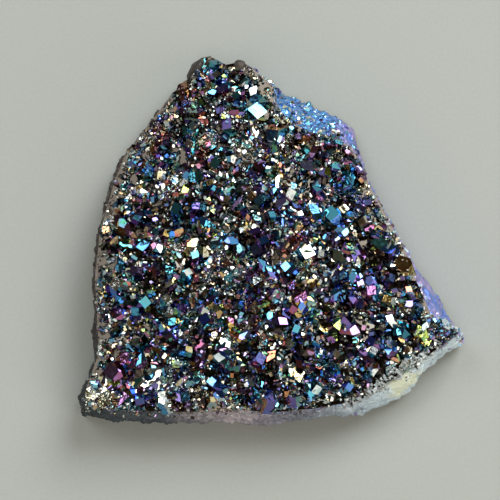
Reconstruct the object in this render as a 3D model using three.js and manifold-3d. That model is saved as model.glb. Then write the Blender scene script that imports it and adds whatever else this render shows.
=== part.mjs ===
// A hand-sized slab of aura quartz druse, lying on its broken back with its crystals up.
//
// Two solids: the matrix, which is the chalcedony slab that the druse grew on, and the crystal
// crust, one intergrown sheet of quartz points that covers it up to its broken edges.
//
// Millimetres. +X runs to the slab's sharp corner, +Y to its narrow end, +Z up through the crystals.
// The origin is the middle of the footprint, on the surface that the slab lies on.

import * as THREE from "three";
import Module from "manifold-3d";
import { mergeVertices } from "three/addons/utils/BufferGeometryUtils.js";

const wasm = await Module();
wasm.setup();

// ---- Driving dimensions ---------------------------------------------------------------------

const MATRIX_EDGE = 7.0; // height of the matrix where the crust starts, at the broken edge
const MATRIX_CROWN = 0.9; // how much higher the matrix stands in the middle than at its edge
const FOOT_INSET = 0.955; // the flat foot's share of the base outline
const CRUST = 1.5; // thickness of the crust between its larger crystals
const CRUST_ROOT = 0.5; // how far the crust's sheet is drawn below the matrix's top, before it is cut
const RIM_ROUNDING = 0.55; // how much the crust drops at its edge
const SEAM = 0.25; // clearance between the two solids
const LONGEST_EDGE = 3.9; // an outline side longer than this gets a middle point
const CHIP = 0.11; // the most that a chip moves the broken edge in or out

const CRYSTAL_PITCH = 3.2; // average distance between the crust's larger crystals
const CRYSTAL_STRAY = 0.35; // the most that one stands off its place in the grid, in pitches
const CRYSTAL_RADIUS = [0.75, 1.5]; // smallest and largest, from axis to corner
const CRYSTAL_HEIGHT = [0.9, 1.9]; // of a crystal's tip over the crust around it
const CRYSTAL_LENGTH = 2.8; // from tip to root, in radii
const CRYSTAL_FLATNESS = 0.65; // the least that a crystal's width is of its breadth
const CRYSTAL_LEAN = 58; // the most that a crystal leans away from upright, in degrees
const POINT_ANGLE = 51.8; // between a quartz crystal's axis and the normals of its point's faces
const RIM = 0.955; // no crystal's tip is further out than this, where 1 is the shoulder line
const ROOT_RIM = 0.93; // and no leaning crystal's root is further out than this

const SEED = 20;

// Rings of the matrix's wall: the height as a share of the edge's, the way gone from the base outline to
// the shoulder, and how far the roughest station stands out.
const WALL_RINGS = [
  [0.16, 0, 0.15],
  [0.45, 0.3, 0.35],
  [0.75, 0.65, -0.25],
];

// Rings of the two top surfaces, as shares of the way from the heart to the shoulder.
const MATRIX_RINGS = [0.72, 0.4, 0];
const CRUST_RINGS = [0.995, 0.88, 0.7, 0.5, 0.3, 0];
const CRUST_UNDERSIDE = [0, 0.5, 0.985];

// The middle that the outline is drawn around, and a distance along X and Y that holds all of it.
const HEART = new THREE.Vector2(0, -5);
const REACH = 27;

// The broken outline, counter-clockwise from the blunt left corner: the base's x and y, then the x and
// y of the shoulder above it, where the crust's edge is. They lie far apart where a face slopes.
const OUTLINE = [
  [-24.6, -22.6, -24.0, -22.5],
  [-20.4, -23.3, -20.3, -23.0],
  [-12.9, -23.7, -12.8, -23.2],
  [-6.0, -23.8, -6.0, -23.0],
  [0.0, -23.7, 0.2, -23.2],
  [5.0, -23.2, 5.1, -22.9],
  [11.2, -22.5, 11.0, -21.8],
  [14.5, -21.2, 13.8, -19.8],
  [17.2, -19.8, 16.4, -18.2],
  [18.4, -18.6, 17.7, -17.4],
  [18.9, -17.4, 18.7, -16.9],
  [22.7, -14.4, 22.3, -14.1],
  [25.2, -13.1, 23.9, -12.8],
  [23.3, -9.9, 20.6, -11.2],
  [20.7, -5.6, 18.4, -6.2],
  [18.0, -1.9, 16.9, -1.9],
  [15.8, 2.3, 15.0, 2.1],
  [13.7, 6.1, 12.9, 5.7],
  [12.2, 9.9, 11.5, 9.4],
  [11.5, 12.8, 10.2, 11.6],
  [10.9, 15.7, 8.8, 12.3],
  [9.3, 16.8, 7.1, 13.3],
  [6.0, 18.6, 4.6, 13.7],
  [3.0, 20.2, 2.4, 15.1],
  [1.2, 20.9, 0.7, 16.8],
  [0.3, 21.3, 0.1, 19.9],
  [-2.6, 22.9, -2.7, 22.3],
  [-4.1, 23.9, -4.1, 23.3],
  [-6.1, 23.5, -6.1, 22.9],
  [-7.9, 24.4, -7.7, 23.6],
  [-9.4, 24.6, -8.9, 23.8],
  [-10.5, 23.8, -9.8, 22.9],
  [-11.3, 21.7, -10.7, 21.2],
  [-13.7, 19.2, -13.2, 18.8],
  [-16.8, 14.8, -16.3, 14.4],
  [-20.5, 10.8, -19.4, 10.2],
  [-21.7, 7.1, -20.7, 6.9],
  [-23.0, 0.2, -22.3, 0.2],
  [-23.5, -6.0, -22.9, -6.0],
  [-22.9, -12.0, -22.5, -12.0],
  [-23.2, -16.1, -22.4, -16.0],
  [-24.3, -18.4, -23.3, -18.4],
  [-25.1, -20.3, -24.0, -20.4],
];

// Swells and hollows of the crystal carpet: x, y, radius and rise. The first four are the knolls that
// later growth of fine crystals built up.
const SWELLS = [
  [-6.0, -5.6, 3.2, 0.7],
  [-13.2, 5.6, 2.2, 0.5],
  [-12.2, -19.0, 2.6, 0.6],
  [-15.6, 12.4, 2.0, 0.35],
  [-7.0, 4.0, 8.0, 0.6],
  [0.5, -17.5, 4.5, -0.9],
  [-15.0, -9.0, 4.0, -0.45],
  [5.0, 9.5, 3.5, -0.6],
  [11.5, -9.0, 5.0, -0.5],
  [17.5, -12.0, 4.0, 0.3],
];

// ---- Chance, always the same -----------------------------------------------------------------

function chance(seed) {
  let state = seed >>> 0;
  return () => {
    state = (state + 0x6d2b79f5) >>> 0;
    let mixed = Math.imul(state ^ (state >>> 15), 1 | state);
    mixed = (mixed + Math.imul(mixed ^ (mixed >>> 7), 61 | mixed)) ^ mixed;
    return ((mixed ^ (mixed >>> 14)) >>> 0) / 4294967296;
  };
}

// ---- Solids ------------------------------------------------------------------------------------

function solidOf(geometry) {
  const bare = geometry.clone();
  bare.deleteAttribute("normal");
  bare.deleteAttribute("uv");
  const merged = mergeVertices(bare, 1e-4);
  const triVerts = new Uint32Array(merged.index.array);
  const vertProperties = merged.attributes.position.array;
  return new wasm.Manifold(new wasm.Mesh({ numProp: 3, vertProperties, triVerts }));
}

function geometryOf(solid) {
  const { numProp, numVert, vertProperties, triVerts } = solid.getMesh();
  const positions = new Float32Array(numVert * 3);
  for (let i = 0; i < numVert; i++)
    positions.set(vertProperties.subarray(i * numProp, i * numProp + 3), i * 3);
  const geometry = new THREE.BufferGeometry();
  geometry.setAttribute("position", new THREE.BufferAttribute(positions, 3));
  geometry.setIndex(new THREE.BufferAttribute(triVerts, 1));
  const faceted = geometry.toNonIndexed();
  faceted.computeVertexNormals();
  return faceted;
}

// ---- The outline, and heights over it --------------------------------------------------------

// The outline's stations: its corners and the middles of its long sides, each a little chipped.
function stations() {
  const random = chance(SEED);
  const points = [];
  OUTLINE.forEach((corner, i) => {
    const next = OUTLINE[(i + 1) % OUTLINE.length];
    const side = Math.hypot(next[0] - corner[0], next[1] - corner[1]);
    const steps = Math.ceil(side / LONGEST_EDGE);
    for (let k = 0; k < steps; k++) {
      const at = corner.map((value, j) => value + ((next[j] - value) * k) / steps);
      const base = new THREE.Vector2(at[0], at[1]);
      const shoulder = new THREE.Vector2(at[2], at[3]);
      const outwards = base.clone().sub(HEART).normalize();
      base.addScaledVector(outwards, (2 * random() - 1) * CHIP);
      shoulder.addScaledVector(outwards, (2 * random() - 1) * CHIP);
      points.push({ base, shoulder, rough: 2 * random() - 1 });
    }
  });
  return points;
}

const EDGE = stations();

function swell(x, y) {
  const gentle = 0.22 * Math.sin(0.31 * x + 1.1) * Math.cos(0.27 * y - 0.4);
  return SWELLS.reduce((height, [sx, sy, radius, rise]) => {
    const away = Math.hypot(x - sx, y - sy) / radius;
    return height + rise * Math.exp(-away * away);
  }, gentle);
}

// How far out a point is: 0 at the heart and 1 on the shoulder line.
function outness(x, y) {
  const turn = Math.atan2(y - HEART.y, x - HEART.x);
  const reach = Math.hypot(x - HEART.x, y - HEART.y);
  for (let i = 0; i < EDGE.length; i++) {
    const a = EDGE[i].shoulder.clone().sub(HEART);
    const b = EDGE[(i + 1) % EDGE.length].shoulder.clone().sub(HEART);
    const across = a.x * b.y - a.y * b.x;
    const ray = new THREE.Vector2(Math.cos(turn), Math.sin(turn));
    const u = (ray.x * b.y - ray.y * b.x) / across;
    const v = (a.x * ray.y - a.y * ray.x) / across;
    if (u >= 0 && v >= 0) return reach * (u + v);
  }
  return 2;
}

function matrixTop(x, y, out) {
  return MATRIX_EDGE + MATRIX_CROWN * (1 - out * out) + 0.4 * swell(x, y) * (1 - out ** 6);
}

function crustTop(x, y, out) {
  return matrixTop(x, y, out) + CRUST + 0.6 * swell(x, y) - RIM_ROUNDING * out ** 8;
}

// ---- Slabs: a lathed disc whose rings are drawn out to the outline ----------------------------

// rings run from the underside's middle to the top's middle. Each says where its vertex lies for a
// station of the outline.
function slab(rings) {
  const profile = rings.map((_, j) => {
    const onAxis = j === 0 || j === rings.length - 1;
    return new THREE.Vector2(onAxis ? 0 : 1, j);
  });
  const geometry = new THREE.LatheGeometry(profile, EDGE.length);
  const position = geometry.attributes.position;
  for (let i = 0; i < position.count; i++) {
    const station = EDGE[Math.floor(i / rings.length) % EDGE.length];
    const place = rings[i % rings.length](station);
    position.setXYZ(i, place.x, place.y, place.z);
  }
  return solidOf(geometry);
}

const towards = (point, share) => HEART.clone().lerp(point, share);

function wallRing(z, lift, roughness, grow) {
  return (station) => {
    const at = station.base.clone().lerp(station.shoulder, lift);
    const outwards = at.clone().sub(HEART).normalize();
    at.addScaledVector(outwards, roughness * station.rough + grow);
    return new THREE.Vector3(at.x, at.y, z);
  };
}

function footRing(share, grow) {
  return (station) => {
    const at = towards(station.base, share);
    return new THREE.Vector3(at.x, at.y, -grow);
  };
}

function topRing(share, height, grow) {
  return (station) => {
    const at = towards(station.shoulder, share);
    return new THREE.Vector3(at.x, at.y, height(at.x, at.y, share) + grow);
  };
}

// grow makes the slab larger all round, for cutting the crust clear of it.
function matrixSlab(grow = 0) {
  const shoulder = (station) => {
    const at = wallRing(0, 1, 0, grow)(station);
    at.z = matrixTop(station.shoulder.x, station.shoulder.y, 1) + grow;
    return at;
  };
  return slab([
    footRing(0, grow),
    footRing(FOOT_INSET, grow),
    ...WALL_RINGS.map(([share, lift, rough]) => wallRing(share * MATRIX_EDGE, lift, rough, grow)),
    shoulder,
    ...MATRIX_RINGS.map((share) => topRing(share, matrixTop, grow)),
  ]);
}

function crustSheet() {
  const sunk = (x, y, out) => matrixTop(x, y, out) - CRUST_ROOT;
  return slab([
    ...CRUST_UNDERSIDE.map((share) => topRing(share, sunk, 0)),
    ...CRUST_RINGS.map((share) => topRing(share, crustTop, 0)),
  ]);
}

// ---- Quartz crystals ---------------------------------------------------------------------------

// A six-sided prism of radius 1 whose tip is at the origin, trimmed by the six faces of its point. Every
// second face is cut deeper, as a quartz crystal's three main faces are, and no two are cut alike.
function crystal(random) {
  const prism = new THREE.CylinderGeometry(1, 1, CRYSTAL_LENGTH + 1, 6);
  prism.rotateX(Math.PI / 2);
  prism.translate(0, 0, (1 - CRYSTAL_LENGTH) / 2);
  const polar = THREE.MathUtils.degToRad(POINT_ANGLE);
  let solid = solidOf(prism);
  for (let k = 0; k < 6; k++) {
    const around = ((k + 0.5) * Math.PI) / 3;
    const normal = upright(polar, around);
    const below = k % 2 ? 0.35 * random() : -0.1 - 0.8 * random();
    solid = solid.trimByPlane(normal.clone().negate().toArray(), Math.cos(polar) * below);
  }
  return solid;
}

// The direction at an angle from upright, and turned around it.
function upright(angle, around) {
  const spherical = new THREE.Vector3().setFromSphericalCoords(1, angle, around);
  return new THREE.Vector3(spherical.z, spherical.x, spherical.y);
}

// The larger crystals' places: a grid with every point moved off its place by chance.
function crystalPlaces(random) {
  const places = [];
  const row = CRYSTAL_PITCH * Math.sin(Math.PI / 3);
  const stray = () => CRYSTAL_STRAY * (2 * random() - 1);
  for (let j = 0; j * row < 2 * REACH; j++)
    for (let i = 0; i * CRYSTAL_PITCH < 2 * REACH; i++) {
      const x = -REACH + (i + (j % 2) / 2 + stray()) * CRYSTAL_PITCH;
      const y = -REACH + (j + stray()) * row;
      if (outness(x, y) < RIM) places.push([x, y]);
    }
  return places;
}

function between([least, most], share) {
  return least + (most - least) * share;
}

function crystals() {
  const random = chance(SEED + 1);
  const up = new THREE.Vector3(0, 0, 1);
  return crystalPlaces(random).map(([x, y]) => {
    const out = outness(x, y);
    const radius = between(CRYSTAL_RADIUS, random() ** 1.6);
    const tip = new THREE.Vector3(x, y, crustTop(x, y, out) + between(CRYSTAL_HEIGHT, random()));
    const lean = THREE.MathUtils.degToRad(CRYSTAL_LEAN) * Math.sqrt(random());
    let axis = upright(lean, random() * 2 * Math.PI);
    const root = tip.clone().addScaledVector(axis, -radius * CRYSTAL_LENGTH);
    if (outness(root.x, root.y) > ROOT_RIM) axis = up;
    const place = new THREE.Matrix4().makeRotationFromQuaternion(
      new THREE.Quaternion().setFromUnitVectors(up, axis),
    );
    const narrow = between([CRYSTAL_FLATNESS, 1], random());
    const size = new THREE.Matrix4().makeScale(radius, radius * narrow, radius);
    const spin = new THREE.Matrix4().makeRotationZ(random() * 2 * Math.PI);
    place.multiply(spin).multiply(size).setPosition(tip);
    return crystal(random).transform(place.elements).trimByPlane([0, 0, 1], matrixTop(x, y, out));
  });
}

// A crystal cut off by the matrix can leave a loose crumb, which isn't part of the crust.
function largestBody(solid) {
  const bodies = solid.decompose();
  return bodies.reduce((best, body) => (body.volume() > best.volume() ? body : best));
}

function crust() {
  const grown = wasm.Manifold.union([crustSheet(), ...crystals()]);
  return largestBody(grown.subtract(matrixSlab(SEAM)));
}

// ---- The specimen ------------------------------------------------------------------------------

const chalcedony = new THREE.MeshStandardMaterial({
  name: "matrix_stone",
  color: 0x8d9692,
  roughness: 0.75,
  metalness: 0,
});

const filmedQuartz = new THREE.MeshStandardMaterial({
  name: "coated_crystals",
  color: 0x5f7f94,
  roughness: 0.15,
  metalness: 1,
  flatShading: true,
});

function part(name, solid, material) {
  const mesh = new THREE.Mesh(geometryOf(solid), material);
  mesh.name = name;
  return mesh;
}

const specimen = new THREE.Group();
specimen.add(part("matrix", matrixSlab(), chalcedony));
specimen.add(part("crystal_crust", crust(), filmedQuartz));

// The outline is drawn around the heart, and the frame's origin is the middle of the footprint.
const middle = new THREE.Box3().setFromObject(specimen).getCenter(new THREE.Vector3());
specimen.children.forEach((mesh) => mesh.geometry.translate(-middle.x, -middle.y, 0));

export default specimen;
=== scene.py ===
# %% [markdown]
# # A coated quartz druse
#
# The specimen is a slab of chalcedony with a carpet of quartz points on it. After it was broken out of
# its rock it was heated in a vacuum with titanium vapour, which left a film on every face that looks
# up. The film is thinner than a wavelength of light: each face shows the colour that suits its film's
# thickness, and mirrors the room besides.
#
# The packed model gives the slab, the crust and its larger crystals at their real size. This lesson
# adds what is too fine for it: the broken rock, thousands of small crystals, and the film.

# %% Load the packed specimen
import math

import bmesh
import bpy
import numpy as np
from mathutils import Matrix, Quaternion, Vector, noise
from mathutils.bvhtree import BVHTree


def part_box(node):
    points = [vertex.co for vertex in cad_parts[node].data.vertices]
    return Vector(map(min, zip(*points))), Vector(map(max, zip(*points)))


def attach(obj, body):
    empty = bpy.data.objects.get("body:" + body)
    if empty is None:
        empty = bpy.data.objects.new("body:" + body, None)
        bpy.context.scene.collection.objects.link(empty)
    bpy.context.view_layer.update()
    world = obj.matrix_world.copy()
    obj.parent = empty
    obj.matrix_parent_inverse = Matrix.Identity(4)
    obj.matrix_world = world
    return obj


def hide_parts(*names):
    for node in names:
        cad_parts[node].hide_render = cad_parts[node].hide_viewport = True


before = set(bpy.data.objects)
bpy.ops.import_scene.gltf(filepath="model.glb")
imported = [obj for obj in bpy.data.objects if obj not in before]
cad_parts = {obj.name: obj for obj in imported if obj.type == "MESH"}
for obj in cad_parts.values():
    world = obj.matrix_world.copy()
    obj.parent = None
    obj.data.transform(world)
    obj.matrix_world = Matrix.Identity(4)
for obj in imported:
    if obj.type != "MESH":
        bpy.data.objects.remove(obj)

MM = 0.001
UP = Vector((0, 0, 1))
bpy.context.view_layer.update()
low, high = (Vector(corner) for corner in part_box("matrix"))
print("slab", [round(side / MM, 1) for side in high - low], "mm")

# %% [markdown]
# ## Camera and light
#
# A druse is looked at from nearly straight above, with a long lens that keeps the outline true. Its
# faces mirror the lamps, so these decide how it looks. A window gives the flashes, and broad dim boards
# bring out the films' own colours. One large soft box would light everything alike, and the gaps between
# the crystals wouldn't stay dark.

# %% Camera
VIEW_HEIGHT = math.radians(78)  # elevation of the camera above the horizon
VIEW_DISTANCE = 300 * MM
VIEW_WIDTH = 65 * MM  # how much of the floor the picture takes in
AIM = Vector((-2.9, -1.8, 5.0)) * MM


def placed(name, data):
    """A new object in the scene."""
    made = bpy.data.objects.new(name, data)
    bpy.context.scene.collection.objects.link(made)
    return made


camera = placed("camera", bpy.data.cameras.new("camera"))
camera.data.lens = camera.data.sensor_width * VIEW_DISTANCE / VIEW_WIDTH
away = Vector((0, -math.cos(VIEW_HEIGHT), math.sin(VIEW_HEIGHT)))
camera.location = AIM + away * VIEW_DISTANCE
camera.rotation_euler = away.to_track_quat("Z", "Y").to_euler()
bpy.context.scene.camera = camera
bpy.context.scene.view_settings.view_transform = "Standard"
print("lens", round(camera.data.lens), "mm")


# %% Lamps
def direction(tilt, turn):
    """A way tilted from straight up, and turned from +X towards +Y."""
    return Vector((math.sin(tilt) * math.cos(turn), math.sin(tilt) * math.sin(turn), math.cos(tilt)))


def soft_lamp(name, azimuth, height, distance, size, radiance, tint):
    """A soft box that faces the specimen."""
    data = bpy.data.lights.new(name, "AREA")
    data.shape = "RECTANGLE"
    data.size, data.size_y = size
    data.energy = radiance * math.pi * size[0] * size[1]
    data.color = tint
    lamp = placed(name, data)
    towards = direction(math.radians(90 - height), math.radians(azimuth))
    lamp.location = towards * distance
    lamp.rotation_euler = towards.to_track_quat("Z", "Y").to_euler()


DAYLIGHT = (0.93, 0.97, 1.0)
LAMPLIGHT = (1.0, 0.95, 0.89)
LAMPS = [  # name, azimuth and height in degrees, distance and size in metres, radiance, tint
    ("window", 52, 48, 0.9, (0.50, 0.56), 8.5, DAYLIGHT),
    ("skylight", 140, 58, 1.0, (0.42, 0.40), 4.5, DAYLIGHT),
    ("far_wall", 60, 12, 1.0, (1.2, 0.4), 1.2, DAYLIGHT),
    ("pale_wall", 180, 30, 1.0, (1.2, 0.5), 0.7, DAYLIGHT),
    ("lit_wall", 240, 40, 1.0, (0.9, 0.6), 0.85, LAMPLIGHT),
    ("lit_door", 330, 40, 1.0, (0.45, 0.7), 1.6, LAMPLIGHT),
    ("near_wall", 300, 12, 1.0, (1.2, 0.4), 1.8, LAMPLIGHT),
    ("desk_lamp", 262, 66, 1.0, (0.20, 0.20), 8.0, LAMPLIGHT),
]
for lamp in LAMPS:
    soft_lamp(*lamp)
print("lamps", [lamp.name for lamp in bpy.data.lights])

# %% [markdown]
# ## Shader maths that reads like arithmetic
#
# A node tree is hard to read as code. One small class wraps a socket, so that Python's operators add the
# Math nodes, and one method makes every other kind of node.


# %% A socket that can be calculated with
class Wire:
    """An output socket. Arithmetic on it adds Math nodes to its material."""

    def __init__(self, shader, socket):
        self.shader = shader
        self.socket = socket

    def math(self, operation, first, second=0.0):
        return self.shader.node("Math", {0: first, 1: second}, operation=operation)

    def __add__(self, other):
        return self.math("ADD", self, other)

    def __sub__(self, other):
        return self.math("SUBTRACT", self, other)

    def __mul__(self, other):
        return self.math("MULTIPLY", self, other)

    def __rsub__(self, other):
        return self.math("SUBTRACT", other, self)

    __radd__ = __add__
    __rmul__ = __mul__

    def step(self, start, end, low=0.0, high=1.0):
        """Runs smoothly from low to high while this goes from start to end."""
        sockets = {"Value": self, "From Min": start, "From Max": end, "To Min": low, "To Max": high}
        return self.shader.node("MapRange", sockets, interpolation_type="SMOOTHSTEP")


# %% A material that makes its own nodes
class Shader:
    """A material's nodes, or a world's, and the one method that makes them."""

    def __init__(self, name, kind="materials"):
        self.owner = getattr(bpy.data, kind).new(name)
        self.owner.use_nodes = True
        self.tree = self.owner.node_tree
        self.tree.nodes.clear()
        self.place = self.node("TexCoord", output="Object")

    def node(self, kind, sockets=None, output=0, stops=None, **settings):
        """Makes a node, with settings first, then a ramp's stops, then values and links."""
        made = self.tree.nodes.new("ShaderNode" + kind)
        for setting, value in settings.items():
            setattr(made, setting, value)
        if stops:
            ramp = made.color_ramp
            while len(ramp.elements) < len(stops):
                ramp.elements.new(1.0)
            for element, (position, colour) in zip(ramp.elements, stops):
                element.position = position
                element.color = (*colour, 1.0)
        for socket, value in (sockets or {}).items():
            target = made.inputs[socket]
            if isinstance(value, Wire):
                self.tree.links.new(value.socket, target)
            elif target.type == "RGBA":
                target.default_value = (*value, 1.0)
            else:
                target.default_value = value
        return Wire(self, made.outputs[output]) if made.outputs else made

    def grain(self, size, detail=2.0, roughness=0.5):
        """Noise with features about size metres across."""
        sockets = {"Vector": self.place, "Scale": 1 / size, "Detail": detail, "Roughness": roughness}
        return self.node("TexNoise", sockets)

    def mix(self, share, a, b, blend="MIX"):
        """Colour a, with a share of colour b in it or over it."""
        return self.node("Mix", {0: share, 6: a, 7: b}, output=2, data_type="RGBA", blend_type=blend)

    def attribute(self, name):
        """A number that the mesh keeps for each face or vertex."""
        return self.node("Attribute", attribute_name=name, output="Fac")

    def finish(self, **sockets):
        """Ends in a Principled shader, where base_color stands for Base Color."""
        names = {key.replace("_", " ").title(): value for key, value in sockets.items()}
        surface = self.node("BsdfPrincipled", names)
        self.node("OutputMaterial", {"Surface": surface})
        return self.owner


print("shaders can", [name for name in vars(Shader) if not name.startswith("_")])

# %% [markdown]
# ## The dark of the room
#
# What the lamps leave dark isn't black: the crystals mirror furniture and curtains there, in dull
# colours. Noise on the world gives such blotches without a picture of a room.

# %% Dark room
BLOTCH = 0.5  # size of a blotch, in radians or so
DIMNESS = 0.09
ROOM_COLOURS = [
    (0.34, (1.1, 0.5, 0.8)),
    (0.44, (0.5, 0.4, 0.3)),
    (0.50, (1.6, 1.2, 0.7)),
    (0.57, (0.4, 0.8, 0.9)),
    (0.66, (0.7, 0.5, 1.2)),
]

room = Shader("room", kind="worlds")
blotches = room.node("ValToRGB", {"Fac": room.grain(BLOTCH)}, stops=ROOM_COLOURS)
dark = room.node("Background", {"Color": blotches, "Strength": DIMNESS})
room.node("OutputWorld", {"Surface": dark})
bpy.context.scene.world = room.owner
print("room in", len(ROOM_COLOURS), "dull colours")

# %% [markdown]
# ## The floor
#
# The specimen lies on pale paper. One flat colour would look like a screen, so fibres have two shades.

# %% Floor
FLOOR_SIZE = 2.0  # metres, so that no edge of it shows
FIBRE = 0.4 * MM
PAPER_SHADES = ((0.36, 0.375, 0.34), (0.415, 0.43, 0.39))


def mesh_of(bm, name):
    """Turns a finished bmesh into a mesh."""
    mesh = bpy.data.meshes.new(name)
    bm.to_mesh(mesh)
    bm.free()
    return mesh


sheet_of_paper = bmesh.new()
bmesh.ops.create_grid(sheet_of_paper, x_segments=1, y_segments=1, size=FLOOR_SIZE / 2)
floor_mesh = mesh_of(sheet_of_paper, "floor")
paper = Shader("pale_paper")
shade = paper.mix(paper.grain(FIBRE, detail=3), *PAPER_SHADES)
floor_mesh.materials.append(paper.finish(base_color=shade, roughness=0.9))
placed("floor", floor_mesh)
print("floor", FLOOR_SIZE, "m")

# %% [markdown]
# ## The film
#
# A film goes through a row of colours as it gets thicker: bronze, red, plum, royal blue, sky blue,
# teal, silver, gold, amber, brick, crimson, plum once more, and green. A thin-film setting could work
# them out, but a colour ramp can be baked. Each face carries its film's thickness, a number that says
# where on the ramp it is.

# %% Film colours
FILM_COLOURS = [
    (0.00, (0.05, 0.04, 0.03)),
    (0.035, (0.36, 0.24, 0.09)),
    (0.065, (0.38, 0.13, 0.07)),
    (0.095, (0.30, 0.06, 0.09)),
    (0.125, (0.14, 0.05, 0.15)),
    (0.175, (0.25, 0.13, 0.38)),
    (0.23, (0.14, 0.11, 0.44)),
    (0.30, (0.04, 0.18, 0.48)),
    (0.37, (0.04, 0.30, 0.48)),
    (0.43, (0.04, 0.33, 0.42)),
    (0.49, (0.08, 0.30, 0.30)),
    (0.53, (0.40, 0.48, 0.46)),
    (0.60, (0.68, 0.70, 0.66)),
    (0.65, (0.64, 0.58, 0.34)),
    (0.69, (0.56, 0.40, 0.08)),
    (0.74, (0.40, 0.17, 0.05)),
    (0.79, (0.34, 0.07, 0.10)),
    (0.84, (0.30, 0.12, 0.36)),
    (0.88, (0.10, 0.10, 0.30)),
    (0.92, (0.02, 0.20, 0.13)),
    (0.96, (0.36, 0.48, 0.05)),
    (1.00, (0.04, 0.06, 0.05)),
]
print("film in", len(FILM_COLOURS), "colours")

# %% [markdown]
# ## Five finishes of the film
#
# On a broad face the film is a mirror with a strong colour. Small faces blend into something more
# silvery, and the finest druse is frosted or satin. One material could hold all this behind masks, but
# five from one function are simpler, and each mesh needs only one of them.

# %% Film material
CLOUD = 1.3 * MM  # size of the stretches where the film is thicker or thinner
DRIFT = 0.14  # how far along the ramp they are apart
HAZE = 0.5 * MM  # size of the stretches that are smoother or rougher
RIPPLES = (0.6 * MM, 0.2 * MM)  # sizes of the low waves in a face, large and small
RIPPLE_HEIGHT = 0.02 * MM


def greyed(colour, share):
    """A colour with some of its own grey in it."""
    grey = sum(colour) / len(colour)
    return tuple(value + (grey - value) * share for value in colour)


def film_material(name, smooth, rough, greying, gain=1.0, metal=1.0):
    """Film on quartz whose faces run from a smooth roughness to a rough one."""
    shader = Shader(name)
    thickness = shader.attribute("film") + (shader.grain(CLOUD) - 0.5) * DRIFT
    stops = []
    for position, colour in FILM_COLOURS:
        stops.append((position, [min(gain * value, 1) for value in greyed(colour, greying)]))
    colour = shader.node("ValToRGB", {"Fac": thickness}, stops=stops)
    roughness = shader.grain(HAZE, detail=3).step(0.35, 0.75, smooth, rough)
    ripple = shader.grain(RIPPLES[0], detail=1) + shader.grain(RIPPLES[1]) * 0.25
    bump = shader.node("Bump", {"Distance": RIPPLE_HEIGHT, "Height": ripple})
    return shader.finish(base_color=colour, metallic=metal, roughness=roughness, normal=bump)


vivid_quartz = film_material("vivid_quartz", 0.05, 0.16, greying=0.18)
filmed_quartz = film_material("filmed_quartz", 0.06, 0.18, greying=0.35)
silvery_quartz = film_material("silvery_quartz", 0.06, 0.18, greying=0.5)
frosted_quartz = film_material("frosted_quartz", 0.12, 0.36, greying=0.28, gain=1.7)
satin_quartz = film_material("satin_quartz", 0.20, 0.45, greying=0.2, gain=1.7, metal=0.6)
print(filmed_quartz.name, len(filmed_quartz.node_tree.nodes), "nodes")

# %% [markdown]
# ## The crust
#
# The packed crust already has the broad crystals where they belong, so a copy of it becomes the first
# piece, let down into the rock because no gap parts the two. The gently bent sheet between its crystals
# is found by walking over it. It marks how high the bare crust is.

# %% Copies that can be worked on
WELD = 0.001 * MM  # corners closer together than this are one


def copy_of(node, name):
    """A merged copy of a CAD node, as a new object that stands for it."""
    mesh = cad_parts[node].data.copy()
    mesh.name = name
    bm = bmesh.new()
    bm.from_mesh(mesh)
    bmesh.ops.remove_doubles(bm, verts=bm.verts, dist=WELD)
    bmesh.ops.dissolve_limit(bm, angle_limit=math.radians(1), verts=bm.verts, edges=bm.edges)
    bm.to_mesh(mesh)
    bm.free()
    mesh.materials.clear()
    piece = placed(name, mesh)
    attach(piece, "root")
    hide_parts(node)
    return piece


# %% Crust
SINK = 0.4 * MM  # how far the underside is let down into the rock
UNDERNEATH = -0.3  # the normals of the underside's faces point down more than this

crust = copy_of("crystal_crust", "crust_and_broad_points")
underside = [face for face in crust.data.polygons if face.normal.z < UNDERNEATH]
for corner in {corner for face in underside for corner in face.vertices}:
    crust.data.vertices[corner].co.z -= SINK
crust.data.update()
crust.data.shade_flat()
crust.data.materials.append(vivid_quartz)
print("crust", len(crust.data.polygons), "faces,", len(underside), "of them underneath")

# %% The sheet between the crystals
SHEET = math.cos(math.radians(25))  # how nearly level the crust between its crystals is
BEND = math.radians(14)  # the sharpest bend in it


def sheet_of(mesh):
    """The faces of the sheet, found by walking over its gentle bends."""
    bm = bmesh.new()
    bm.from_mesh(mesh)
    level = {face for face in bm.faces if face.normal.z > SHEET}
    front = [max(level, key=lambda face: face.calc_area())]
    found = set(front)
    while front:
        for edge in front.pop().edges:
            if edge.calc_face_angle(math.pi) < BEND:
                news = [face for face in edge.link_faces if face in level - found]
                found.update(news)
                front += news
    indices = {face.index for face in found}
    bm.free()
    return indices


sheet = sheet_of(crust.data)
print("sheet", len(sheet), "faces")

# %% [markdown]
# ## Quartz points
#
# A quartz point is a six-sided prism closed by six sloping faces. A cone would do from afar, but its
# faces are all alike. So each point is cut from a prism, with every cut at its own depth, and a few dozen
# are enough for the whole druse, because every copy is turned, leant and sized in its own way.

# %% One quartz point
SLOPE = math.radians(51.8)  # between axis and face normals
LENGTH = 3.2  # from tip to root, in radii
SCARRED = 0.7  # the share of points with an odd face, from a neighbour or a knock
SLIVER = 0.02  # edges shorter than this, in radii, are closed up


def cut(bm, depth, tilt, turn):
    """Slices off what lies beyond a sloping plane, and closes the cut."""
    everything = bm.verts[:] + bm.edges[:] + bm.faces[:]
    plane = {"plane_co": (0, 0, -depth), "plane_no": direction(tilt, turn)}
    bmesh.ops.bisect_plane(bm, geom=everything, clear_outer=True, **plane)
    rim = [edge for edge in bm.edges if edge.is_boundary]
    if rim:
        bmesh.ops.edgeloop_fill(bm, edges=rim)


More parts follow.
